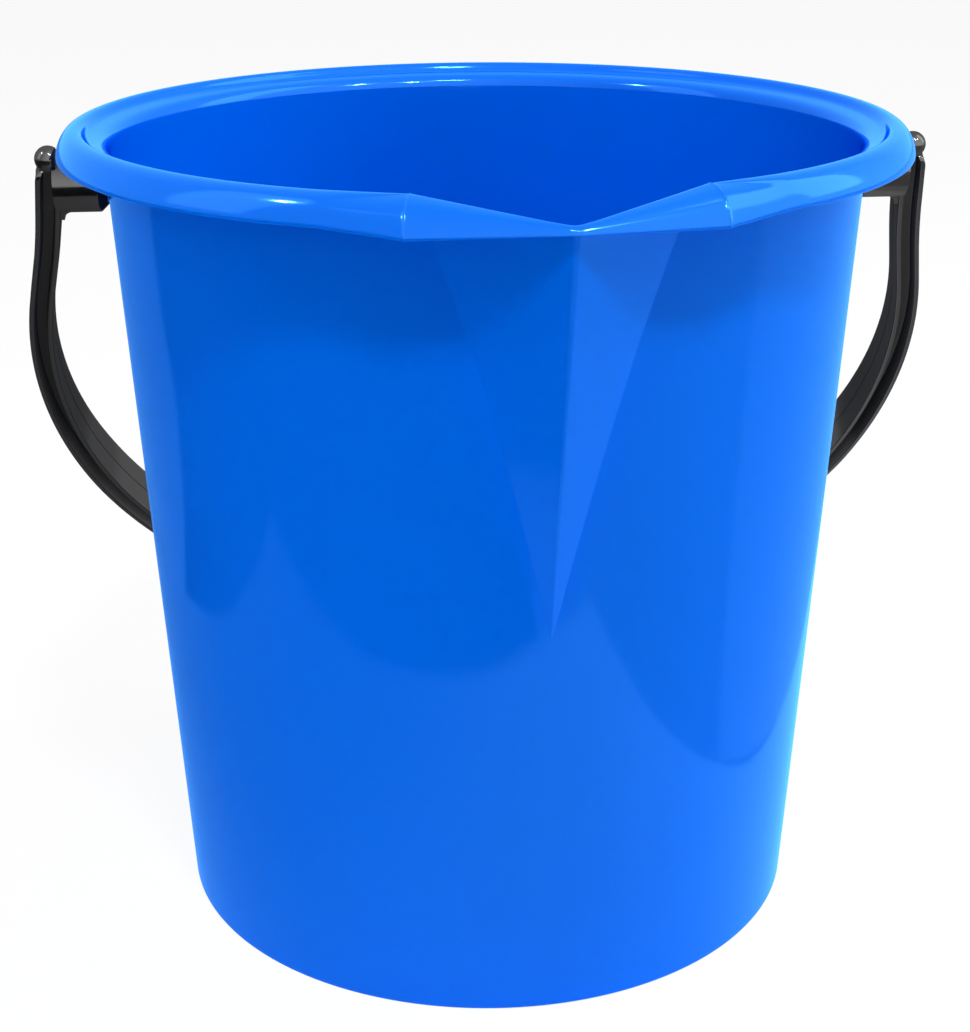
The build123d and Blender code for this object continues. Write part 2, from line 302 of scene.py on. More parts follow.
def add_node(
    tree: bpy.types.NodeTree,
    kind: str,
    links: dict[str | int, bpy.types.NodeSocket] | None = None,
    inputs: dict[str | int, object] | None = None,
    **settings: object,
) -> bpy.types.Node:
    """Adds a shader node.

    Args:
        tree: Node tree to add to.
        kind: Type of the node, without its common first word.
        links: Output sockets, by the name or number of the input that each feeds.
        inputs: Fixed values, by the name or number of the input.
        **settings: Properties of the node.

    Returns:
        The new node.
    """
    node = tree.nodes.new(f"ShaderNode{kind}")
    for key, value in settings.items():
        setattr(node, key, value)
    for key, value in (inputs or {}).items():
        node.inputs[key].default_value = value
    for key, socket in (links or {}).items():
        tree.links.new(socket, node.inputs[key])
    return node


@dataclass(frozen=True)
class MouldedPolypropylene:
    """Injection moulded polypropylene, coloured through.

    The mould's polish gives an even gloss with a very slight waviness, and handling leaves
    faint scuffs that only show as a change of gloss.

    Attributes:
        name: Name of the material.
        colour: sRGB hex value of the plastic.
        deep: sRGB hex value of its slightly darker flow marks.
        tint: sRGB hex value that reflections take on.
        gloss: Lowest and highest roughness.
        flow_mm: Size of the flow marks.
        scuff_mm: Size of the scuffed patches.
        grain_mm: Size of the surface's waves.
        grain_depth_mm: Height of those waves.
        ior: Index of refraction.
        most: Most that it reflects at a glancing angle, low where a fine grain breaks that up.
        painted_groove_shade_mm: Width of grooves whose gloss an occlusion test takes away as painted shade,
            none where zero.
        groove_shade_samples: Rays that look for such grooves.
        scuff_range: Values of the noise at which scuffs start and are full.
    """

    name: str
    colour: str
    deep: str
    tint: str
    gloss: Pair
    flow_mm: float
    scuff_mm: float
    grain_mm: float
    grain_depth_mm: float
    ior: float = 1.49
    most: float = 1.0
    painted_groove_shade_mm: float = 0.0
    groove_shade_samples: int = 8
    scuff_range: Pair = (0.3, 0.75)

    def build(self) -> bpy.types.Material:
        """Makes the material with its nodes.

        Returns:
            The material.
        """
        material = bpy.data.materials.new(self.name)
        tree = bare_tree(material)
        place = add_node(tree, "TexCoord")
        noises = []
        for size, detail, rough in (
            (self.flow_mm, 2.0, 0.45),
            (self.scuff_mm, 5.0, 0.6),
            (self.grain_mm, 2.0, 0.5),
        ):
            values = {"Scale": 1 / (size * MM), "Detail": detail, "Roughness": rough}
            noise = add_node(tree, "TexNoise", {"Vector": place.outputs["Object"]}, values)
            noises.append(noise.outputs["Fac"])
        flow, scuff, grain = noises
        # A colour mix has its two colours at inputs 6 and 7 and its result at output 2.
        colours = {6: linear(self.colour), 7: linear(self.deep)}
        colour = add_node(tree, "Mix", {"Factor": flow}, colours, data_type="RGBA")
        ends = dict(zip(RANGE, (*self.scuff_range, *self.gloss)))
        gloss = add_node(tree, "MapRange", {"Value": scuff}, ends)
        depth = {"Strength": 1.0, "Distance": self.grain_depth_mm * MM}
        waves = add_node(tree, "Bump", {"Height": grain}, depth).outputs["Normal"]
        plastic = add_node(tree, "BsdfDiffuse", {"Color": colour.outputs[2], "Normal": waves})
        polish = add_node(
            tree,
            "BsdfAnisotropic",
            {"Roughness": gloss.outputs["Result"], "Normal": waves},
            {"Color": linear(self.tint), "Roughness": self.gloss[0]},
        )
        slant = add_node(tree, "Fresnel", {"Normal": waves}, {"IOR": self.ior})
        share = add_node(tree, "Math", {0: slant.outputs["Fac"]}, {1: self.most}, operation="MINIMUM")
        # Painted shade: an occlusion test takes the gloss out of the piece's own grooves, standing in for the
        # shade they cast on their reflections.
        if self.painted_groove_shade_mm:
            reach = {"Distance": self.painted_groove_shade_mm * MM}
            groove = add_node(
                tree, "AmbientOcclusion", None, reach, only_local=True, samples=self.groove_shade_samples
            )
            sources = {0: share.outputs["Value"], 1: groove.outputs["AO"]}
            share = add_node(tree, "Math", sources, operation="MULTIPLY")
        shader = add_node(
            tree,
            "MixShader",
            {0: share.outputs["Value"], 1: plastic.outputs["BSDF"], 2: polish.outputs["BSDF"]},
        )
        add_node(tree, "OutputMaterial", {"Surface": shader.outputs["Shader"]})
        return material


# A polished mould gives a bright even gloss with clear mirror images, which the blue tints.
BLUE_POLYPROPYLENE = MouldedPolypropylene(
    name="blue moulded polypropylene",
    colour="#005cd1",
    deep="#0058ca",
    tint="#54a0ff",
    gloss=(0.07, 0.12),
    flow_mm=112.0,
    scuff_mm=14.0,
    grain_mm=9.0,
    grain_depth_mm=0.012,
)
# A finely grained mould gives a deep black with narrow grey highlights. Painted shade takes the gloss out of
# the grooves, standing in for the shade that the bail casts on its own reflections. The grain itself is too
# fine to show, so it is drawn coarser.
BLACK_POLYPROPYLENE = MouldedPolypropylene(
    name="black moulded polypropylene",
    colour="#151514",
    deep="#121211",
    tint=WHITE,
    gloss=(0.1, 0.2),
    flow_mm=48.0,
    scuff_mm=6.0,
    grain_mm=0.8,
    grain_depth_mm=0.01,
    ior=1.45,
    most=0.026,
    # Painted shade dims the gloss in grooves up to this width.
    painted_groove_shade_mm=8.0,
)


@dataclass(frozen=True)
class RimSection:
    """The rolled rim in a plane through the bucket's axis, in radius and height.

    The skirt hangs from a round crest. Inside the crest a short step drops to a ledge that
    slopes to the mouth.
    """

    crest_r: float
    crest_z: float
    outer_round: float
    inner_round: float
    lip_r: float
    lip_z: float
    slope: float
    step: float
    step_length: float
    thickness: float
    lip_cut: float
    root_cut: float
    mouth_cut: float
    outer_wall: Pair
    inner_wall: Pair
    open_under: bool = True
    step_share: float = 0.7
    root_steps: int = 4
    hook_steps: int = 8
    skirt_steps: int = 5
    lip_steps: int = 4
    face_steps: int = 6
    crest_steps: int = 10
    back_steps: int = 7
    ledge_steps: int = 7

    @staticmethod
    def on_wall(wall: Pair, height: float) -> Point:
        """Point of a wall at a height, from its radius at height zero and its rise."""
        return (wall[0] + wall[1] * height, height)

    def meet_wall(self, wall: Pair, start: Point) -> Point:
        """Finds where a line down the slope meets a wall.

        Args:
            wall: The wall's radius at height zero and its rise.
            start: Point that the sloping line passes.

        Returns:
            Radius and height of the corner.
        """
        fall = tan(radians(self.slope))
        return self.on_wall(wall, (start[1] - (start[0] - wall[0]) * fall) / (1 - wall[1] * fall))

    def under(self, skirt: Point, skirt_round: float, meet: float, clear: float, ledge: Point) -> np.ndarray:
        """Samples the rim's underside, from the wall out to the lip.

        Args:
            skirt: Centre of the skirt's arc.
            skirt_round: Radius of the skirt's outer face.
            meet: Angle at which skirt and crest meet, in degrees.
            clear: Angle left for the lip's round, in degrees.
            ledge: Foot of the step, where the ledge starts.

        Returns:
            Points as rows.
        """
        if self.open_under:
            below = (ledge[0], ledge[1] - self.thickness / cos(radians(self.slope)))
            corner = self.meet_wall(self.outer_wall, below)
            low = self.on_wall(self.outer_wall, corner[1] - 2 * self.root_cut)
            knee_r = self.crest_r - self.inner_round / 2
            knee = (knee_r, below[1] + (knee_r - below[0]) * tan(radians(self.slope)))
            crest = (self.crest_r, self.crest_z - self.outer_round)
            hook = arc(crest, self.outer_round - self.thickness, 90, meet, self.hook_steps)
            cuts = [0, self.root_cut, self.root_cut, 0]
            root = rounded([low, corner, knee, tuple(hook[0])], cuts, self.root_steps)
            drop = arc(skirt, skirt_round - self.thickness, meet, clear, self.skirt_steps)
            return np.vstack([root[:-1], hook[:-1], drop])
        end = (self.lip_r - self.thickness, self.lip_z)
        corner = (self.on_wall(self.outer_wall, end[1])[0], end[1] + self.root_cut / 4)
        low = self.on_wall(self.outer_wall, corner[1] - 2 * self.root_cut)
        root = rounded([low, corner, end], [0, self.root_cut, 0], self.root_steps)
        # The closed underside gets as many points as the open one.
        count = self.root_steps + self.hook_steps + self.skirt_steps + 2
        fill = np.linspace(root[-2], end, count + 2)[1:-1]
        return np.vstack([root[:-1], fill])

    def rows(self) -> np.ndarray:
        """Samples the whole rim, from the outside of the wall over the crest to its inside.

        Returns:
            Points as rows.
        """
        over = self.lip_r - self.crest_r
        fall = self.crest_z - self.lip_z
        skirt_round = (over**2 + fall**2 - 2 * fall * self.outer_round) / (2 * (over - self.outer_round))
        skirt = (self.lip_r - skirt_round, self.lip_z)
        crest = (self.crest_r, self.crest_z - self.outer_round)
        inner = (self.crest_r, self.crest_z - self.inner_round)
        meet = degrees(atan2(crest[1] - skirt[1], crest[0] - skirt[0]))
        clear = degrees(2 * self.lip_cut / skirt_round)
        back = arc(inner, self.inner_round, 90, 90 + self.step, self.back_steps)[1:]
        step_end = polar(tuple(back[-1]), -self.step_length, self.step)
        under = self.under(skirt, skirt_round, meet, clear, step_end)
        face = arc(skirt, skirt_round, clear, meet, self.face_steps)
        heel, toe = (self.lip_r - self.thickness, self.lip_z), (self.lip_r, self.lip_z)
        cuts = [0, self.lip_cut, self.lip_cut, 0]
        lip = rounded([under[-1], heel, toe, face[0]], cuts, self.lip_steps)[1:-1]
        top = arc(crest, self.outer_round, meet, 90, self.crest_steps)
        mouth = self.meet_wall(self.inner_wall, step_end)
        low = self.on_wall(self.inner_wall, mouth[1] - 2 * self.mouth_cut)
        cuts = [0, self.step_length * self.step_share, self.mouth_cut, 0]
        ledge = rounded([tuple(back[-1]), step_end, mouth, low], cuts, self.ledge_steps)[1:]
        return np.vstack([under, lip, face[:-1], top, back, ledge])


@dataclass(frozen=True)
class Column:
    """One station round the bucket.

    Attributes:
        stretch: Stretch of the rim that it lies in.
        angle: Azimuth at the rim in degrees, from the spout's middle.
        nose: Share of the keel's round, from its middle to its end, or None outside it.
        flat: Share of the flat cheek, from the keel's round to the seam.
        across: Share of the way from the spout's middle to its seam, with its sign.
        groove: Depth of the mould line on the rim here.
    """

    stretch: Stretch
    angle: float = 0.0
    nose: float | None = None
    flat: float = 0.0
    across: float = 0.0
    groove: float = 0.0


@dataclass
class BucketBody:
    """The blue moulding: wall, base, rolled rim, folded spout and pegs. Sizes in millimetres.

    Attributes, where the name doesn't say it all, with angles in degrees:
        spout_turn: Turn of the spout about the bucket's axis.
        spout_seam: Azimuth of the spout's corners, from its middle.
        spout_ease: Azimuth at which the rim is plain again.
        spread: Azimuth up to which the wall's stations make room for the spout.
        spout_root: Depth under the spout's foot at which the keel's round starts to grow.
        spout_entry: Depth under the crest of the points where the cheeks' planes meet the cone.
        keel_share: Most of a cheek's length that the keel's round takes.
        tip_blend: Share of the spout's half width that is round at the bottom of its dip.
        flats: Stations on a cheek, as shares of its flat length.
        eases: Stations from a corner on, in degrees, of which groove_ease has the mould line.
    """

    height: float = 268.0
    base_radius: float = 107.8
    mouth_radius: float = 122.4
    wall: float = 1.8
    floor_thickness: float = 2.2
    foot_height: float = 5.0
    foot_width: float = 3.0
    foot_round: float = 1.2
    foot_edge: float = 0.4
    plate_corner: float = 1.0
    inside_corner: float = 7.0
    gate_radius: float = 6.0
    gate_depth: float = 0.8
    gate_edge: float = 0.3
    lip_radius: float = 137.2
    lip_cut: float = 0.85
    skirt_height: float = 9.0
    root_cut: float = 1.2
    mouth_cut: float = 3.2
    crest_radius: float = 130.4
    crest_round: float = 5.5
    crest_back: float = 2.4
    ledge_slope: float = 15.0
    step_slope: float = 60.0
    step_length: float = 1.7
    spout_turn: float = 4.9
    spout_seam: float = 18.0
    spout_ease: float = 28.5
    spread: float = 60.0
    spout_foot: float = 132.0
    spout_root: float = 4.0
    spout_entry: float = 4.0
    keel_radius: float = 142.5
    keel_round: float = 3.0
    keel_share: float = 0.8
    seam_lip_radius: float = 140.6
    seam_lip_drop: float = 1.6
    seam_groove: float = 0.22
    tip_crest_radius: float = 142.2
    tip_drop: float = 6.05
    tip_round: float = 1.25
    tip_back: float = 0.6
    tip_slope: float = 8.0
    tip_step_slope: float = 45.0
    tip_step: float = 0.3
    tip_lip_radius: float = 144.3
    tip_lip_cut: float = 0.25
    tip_skirt: float = 2.4
    tip_wall: float = 0.9
    tip_corner: float = 0.4
    tip_blend: float = 0.05
    peg_z: float = 248.5
    peg_radius: float = 6.0
    peg_tip: float = 136.3
    peg_ring: float = 0.5
    peg_ring_length: float = 2.6
    peg_slot: float = 1.8
    peg_slot_depth: float = 9.0
    peg_steps: int = 48
    low_rows: int = 14
    high_rows: int = 26
    base_steps: int = 4
    corner_steps: int = 10
    nose_steps: int = 4
    ring_steps: int = 246
    flats: tuple[float, ...] = (0.08, 0.2, 0.35, 0.5, 0.65, 0.8, 0.92, 0.98)
    groove_ease: float = 0.12
    eases: tuple[float, ...] = (0.0, groove_ease, 0.24, 0.6, 1.4, 2.6, 4.0, 5.5, 7.0, 8.5, 9.6)
    shell_sharp: float = 60.0
    peg_sharp: float = 28.0
    finish: MouldedPolypropylene = BLUE_POLYPROPYLENE

    def __post_init__(self) -> None:
        """Works out the values that several methods share."""
        self.lip_z = self.height - self.skirt_height
        self.rise = (self.mouth_radius - self.base_radius) / self.lip_z
        foot = np.array([0, -self.cone(Skin.OUTER, self.spout_foot), self.spout_foot])
        top = np.array([0, -self.keel_radius, self.lip_z])
        self.keel_rise = (self.keel_radius + foot[1]) / (self.lip_z - self.spout_foot)
        seam = radians(self.spout_seam)
        entry = self.height - self.spout_entry
        seam_r = self.cone(Skin.OUTER, entry)
        normal = np.cross(top - foot, np.array([seam_r * sin(seam), -seam_r * cos(seam), entry]) - foot)
        normal = normal / np.linalg.norm(normal)
        level = np.cross(normal, [0, 0, 1])
        self.fold = atan2(abs(level[1]), abs(level[0]))
        self.cheek_shift = self.wall / abs(normal[1])
        self.ring, self.seam, self.tip = [section.rows() for section in self.sections()]

    def sections(self) -> tuple[RimSection, RimSection, RimSection]:
        """Lists the rim's sections.

        Returns:
            The plain rim, the spout's corner and the spout's tip.
        """
        ring = RimSection(
            crest_r=self.crest_radius,
            crest_z=self.height,
            outer_round=self.crest_round,
            inner_round=self.crest_back,
            lip_r=self.lip_radius,
            lip_z=self.lip_z,
            slope=self.ledge_slope,
            step=self.step_slope,
            step_length=self.step_length,
            thickness=self.wall,
            lip_cut=self.lip_cut,
            root_cut=self.root_cut,
            mouth_cut=self.mouth_cut,
            outer_wall=(self.base_radius, self.rise),
            inner_wall=(self.base_radius - self.wall, self.rise),
        )
        seam = replace(ring, lip_r=self.seam_lip_radius, lip_z=self.lip_z - self.seam_lip_drop)
        top = self.height - self.tip_drop
        tip = RimSection(
            crest_r=self.tip_crest_radius,
            crest_z=top,
            outer_round=self.tip_round,
            inner_round=self.tip_back,
            lip_r=self.tip_lip_radius,
            lip_z=top - self.tip_skirt,
            slope=self.tip_slope,
            step=self.tip_step_slope,
            step_length=self.tip_step,
            thickness=self.tip_wall,
            lip_cut=self.tip_lip_cut,
            root_cut=self.tip_corner,
            mouth_cut=self.tip_corner,
            outer_wall=(self.keel(Skin.OUTER, 0), self.keel_rise),
            inner_wall=(self.keel(Skin.INNER, 0), self.keel_rise),
            open_under=False,
        )
        return ring, seam, tip

    def cone(self, skin: Skin, z: float) -> float:
        """Radius of the wall's cone at a height."""
        return self.base_radius + self.rise * z - (self.wall if skin is Skin.INNER else 0)

    def keel(self, skin: Skin, z: float) -> float:
        """Distance of the keel's line from the axis at a height."""
        shift = self.cheek_shift if skin is Skin.INNER else 0
        return self.cone(Skin.OUTER, self.spout_foot) + self.keel_rise * (z - self.spout_foot) - shift

    def inner_foot(self) -> float:
        """Height at which the keel leaves the inside of the wall."""
        gap = self.keel(Skin.INNER, self.spout_foot) - self.cone(Skin.INNER, self.spout_foot)
        return self.spout_foot - gap / (self.keel_rise - self.rise)

    def cheek_edge(self, skin: Skin, z: float) -> float:
        """Measures a cheek, from the keel's line to where it enters the cone.

        Args:
            skin: Face of the wall.
            z: Height.

        Returns:
            Its length, zero under the spout.
        """
        keel, cone = self.keel(skin, z), self.cone(skin, z)
        if keel <= cone:
            return 0.0
        inward = keel * sin(self.fold)
        return inward - sqrt(max(inward**2 - keel**2 + cone**2, 0.0))

    def edge_angle(self, skin: Skin, z: float) -> float:
        """Azimuth at which a cheek enters the cone at a height, in degrees."""
        length = self.cheek_edge(skin, z)
        return degrees(atan2(length * cos(self.fold), self.keel(skin, z) - length * sin(self.fold)))

    def columns(self) -> list[Column]:
        """Lists the stations once round the bucket, starting at the spout's middle.

        Returns:
            The stations in order.
        """
        cheek = [Column(Stretch.CHEEK, nose=step / self.nose_steps) for step in range(1, self.nose_steps + 1)]
        cheek += [Column(Stretch.CHEEK, flat=flat) for flat in self.flats]
        length = self.cheek_edge(Skin.OUTER, self.lip_z)
        half = []
        for column in cheek:
            across = self.cheek_point(column, Skin.OUTER, self.lip_z)[0] / (length * cos(self.fold))
            half.append(replace(column, angle=self.spout_seam * across, across=across))
        for ease in self.eases:
            groove = self.seam_groove if ease == self.groove_ease else 0.0
            half.append(Column(Stretch.EASE, self.spout_seam + ease, across=1.0, groove=groove))
        sweep = 360 - 2 * self.spout_ease
        ring = []
        for step in range(self.ring_steps + 1):
            ring.append(Column(Stretch.RING, self.spout_ease + sweep * step / self.ring_steps))
        mirrored = [replace(column, angle=-column.angle, across=-column.across) for column in reversed(half)]
        return [Column(Stretch.CHEEK, nose=0.0), *half, *ring, *mirrored]

    def cheek_point(self, column: Column, skin: Skin, z: float) -> Point:
        """Places a station of the spout on the cheeks at a height.

        Args:
            column: The station.
            skin: Face of the wall.
            z: Height.

        Returns:
            Distance across from the spout's middle, and distance out from the axis.
        """
        keel = max(self.keel(skin, z), self.cone(skin, z))
        length = self.cheek_edge(skin, z)
        root = self.spout_foot - self.spout_root
        grown = max((z - root) / (self.lip_z - root), 0.0)
        nose = min(self.keel_round * grown, self.keel_share * length / tan(self.fold))
        if column.nose is not None:
            turn = self.fold * column.nose
            return (nose * sin(turn), keel - nose / cos(self.fold) + nose * cos(turn))
        start = nose * tan(self.fold)
        along = start + (length - start) * column.flat
        return (along * cos(self.fold), keel - along * sin(self.fold))

    def wall_point(self, column: Column, skin: Skin, z: float) -> Place:
        """Places a station on the wall at a height, the spout square to the axis.

        Args:
            column: The station.
            skin: Face of the wall.
            z: Height.

        Returns:
            The point.
        """
        if column.stretch is Stretch.CHEEK:
            x, out = self.cheek_point(column, skin, z)
            return (-x if column.across < 0 else x, -out, z)
        angle = (column.angle + 180) % 360 - 180
        if abs(angle) < self.spread:
            edge = self.edge_angle(skin, z)
            share = (abs(angle) - self.spout_seam) / (self.spread - self.spout_seam)
            angle = (1 if angle > 0 else -1) * (edge + share * (self.spread - edge))
        radius = self.cone(skin, z)
        return (radius * sin(radians(angle)), -radius * cos(radians(angle)), z)

    def dip(self, column: Column) -> float:
        """Share of the way from the spout's tip to its seam, rounded at the tip."""
        reach = sqrt(1 + self.tip_blend**2) - self.tip_blend
        return (sqrt(column.across**2 + self.tip_blend**2) - self.tip_blend) / reach

    def rim_points(self, column: Column) -> np.ndarray:
        """Places the rim's profile at a station, the spout square to the axis.

        Args:
            column: The station.

        Returns:
            Points as rows.
        """
        ring, seam, tip = self.ring, self.seam, self.tip
        if column.stretch is Stretch.CHEEK:
            corner = radians(self.spout_seam)
            share = self.dip(column)
            x = seam[:, 0] * sin(corner) * column.across
            out = tip[:, 0] + (seam[:, 0] * cos(corner) - tip[:, 0]) * share
            z = tip[:, 1] + (seam[:, 1] - tip[:, 1]) * share
            return np.stack([x, -out, z], 1)
        radius, z = ring[:, 0], ring[:, 1]
        if column.stretch is Stretch.EASE:
            angle = abs(column.angle)
            far = sin(radians(self.spout_ease - angle))
            near = sin(radians(angle - self.spout_seam))
            span = sin(radians(self.spout_ease - self.spout_seam))
            share = (self.spout_ease - angle) / (self.spout_ease - self.spout_seam)
            straight = ring[:, 0] * seam[:, 0] * span / (ring[:, 0] * far + seam[:, 0] * near)
            plain = ring[:, 0] + (seam[:, 0] - ring[:, 0]) * share
            weight = np.clip((plain - self.mouth_radius) / (self.lip_radius - self.mouth_radius), 0, 1)
            radius = plain + (straight - plain) * weight
            z = ring[:, 1] + (seam[:, 1] - ring[:, 1]) * share
        if column.groove:
            along = np.gradient(np.stack([radius, z], 1), axis=0)
            shown = radius > self.crest_radius - self.crest_back
            depth = shown * column.groove / np.linalg.norm(along, axis=1)
            radius, z = radius + along[:, 1] * depth, z - along[:, 0] * depth
        spin = radians(column.angle)
        return np.stack([radius * sin(spin), -radius * cos(spin), z], 1)

    def base_rows(self) -> np.ndarray:
        """Draws the underside, from its middle out to the foot of the wall.

        Returns:
            Radius and height of each point.
        """
        plate = self.foot_height
        ring = self.base_radius - self.foot_width
        gate = plate + self.gate_depth
        above = 3 * self.foot_round
        corners = [(ON_AXIS, gate), (self.gate_radius, gate), (self.gate_radius, plate), (ring, plate)]
        corners += [(ring, 0), (self.base_radius, 0), (self.cone(Skin.OUTER, above), above)]
        cuts = [0, self.gate_edge, self.gate_edge, self.plate_corner, self.foot_edge, self.foot_round, 0]
        return rounded(corners, cuts, self.base_steps)

    def floor_rows(self) -> np.ndarray:
        """Draws the inside, from the foot of the wall to the floor's middle.

        Returns:
            Radius and height of each point.
        """
        level = self.foot_height + self.floor_thickness
        above = level + 2 * self.inside_corner
        corners = [(self.cone(Skin.INNER, z), z) for z in (above, level)]
        return rounded([*corners, (ON_AXIS, level)], [0, self.inside_corner, 0], self.corner_steps)

    def spread_out(self, column: Column, skin: Skin, rows: np.ndarray) -> list[Place]:
        """Places a station on the base plate.

        Args:
            column: The station.
            skin: Face of the plate.
            rows: Radius and height of each point.

        Returns:
            The points.
        """
        points = []
        for radius, z in rows:
            x, y, _ = self.wall_point(column, skin, z)
            scale = radius / hypot(x, y)
            points.append((x * scale, y * scale, z))
        return points

    def climb(self, column: Column, skin: Skin, start: float, end: float, steps: int) -> list[Place]:
        """Points of a station up the wall at even steps, without the lowest."""
        return [self.wall_point(column, skin, start + (end - start) * i / steps) for i in range(1, steps + 1)]

    def path(self, column: Column) -> tuple[list[Place], list[bool]]:
        """Follows a station from under the base up the outside, over the rim and down the inside.

        Args:
            column: The station.

        Returns:
            The points, and for each whether the spout's stations fall together there.
        """
        rim, base, floor = self.rim_points(column), self.base_rows(), self.floor_rows()
        fold, fold_in = self.spout_foot, self.inner_foot()
        under = self.spread_out(column, Skin.OUTER, base)
        under += self.climb(column, Skin.OUTER, base[-1][1], fold, self.low_rows)
        apart = self.climb(column, Skin.OUTER, fold, rim[0][2], self.high_rows)
        apart += [tuple(point) for point in rim[1:-1]]
        apart += reversed(self.climb(column, Skin.INNER, fold_in, rim[-1][2], self.high_rows))
        inside = self.climb(column, Skin.INNER, floor[0][1], fold_in, self.low_rows)[::-1]
        inside += self.spread_out(column, Skin.INNER, floor)
        fused = [True] * len(under) + [False] * len(apart) + [True] * len(inside)
        return under + apart + inside, fused

    def build(self) -> bpy.types.Object:
        """Makes the body as one closed mesh of profiles round the axis.

        Returns:
            The body's object.
        """
        columns = self.columns()
        paths = [self.path(column) for column in columns]
        spin = radians(self.spout_turn)
        turn = np.array([[cos(spin), -sin(spin), 0], [sin(spin), cos(spin), 0], [0, 0, 1]])
        points = np.array([places for places, _ in paths]) @ turn.T
        fused = paths[0][1]
        spout = [c.stretch is Stretch.CHEEK or abs(c.angle) == self.spout_seam for c in columns]
        count, rows = points.shape[:2]
        index = np.zeros((rows, count), int)
        vertices = []
        for i in range(rows):
            centre = i in (0, rows - 1)
            for j in range(count):
                if j > 0 and (centre or fused[i] and spout[j]):
                    index[i, j] = index[i, 0]
                    continue
                index[i, j] = len(vertices)
                vertices.append(points[j, i])
        return add_object("bucket_shell", np.array(vertices), grid_faces(index))

    def peg(self, side: Side) -> bpy.types.Object:
        """Makes a split snap peg on the bail's axis.

        Args:
            side: End of the axis.

        Returns:
            The peg.
        """
        root = self.cone(Skin.OUTER, self.peg_z) - self.wall / 2
        ring = self.peg_tip - self.peg_ring_length
        corners = [
            (root, 0.0),
            (root, self.peg_radius),
            (ring, self.peg_radius),
            (ring + self.peg_ring, self.peg_radius + self.peg_ring),
            (self.peg_tip - self.peg_ring_length / 3, self.peg_radius + self.peg_ring),
            (self.peg_tip, self.peg_radius - self.peg_ring),
            (self.peg_tip, 0.0),
        ]
        piece = lathe(f"peg_{side.name.lower()}", corners, side, self.peg_steps)
        size = (2 * self.peg_slot_depth, 4 * self.peg_radius, self.peg_slot)
        combine(piece, block("slot", (side * self.peg_tip, 0, 0), size), Joining.DIFFERENCE)
        piece.data.transform(Matrix.Translation((0, 0, self.peg_z * MM)))
        return piece

    def dress(self, piece: bpy.types.Object, material: bpy.types.Material, sharp_angle: float) -> None:
        """Gives a piece of the body its finish and its place in the frame.

        Args:
            piece: The piece.
            material: The body's material.
            sharp_angle: Edges over this angle in degrees stay sharp.
        """
        coat(piece, material, sharp_angle)
        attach(piece, Body.BUCKET.value)
        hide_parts("bucket_body")


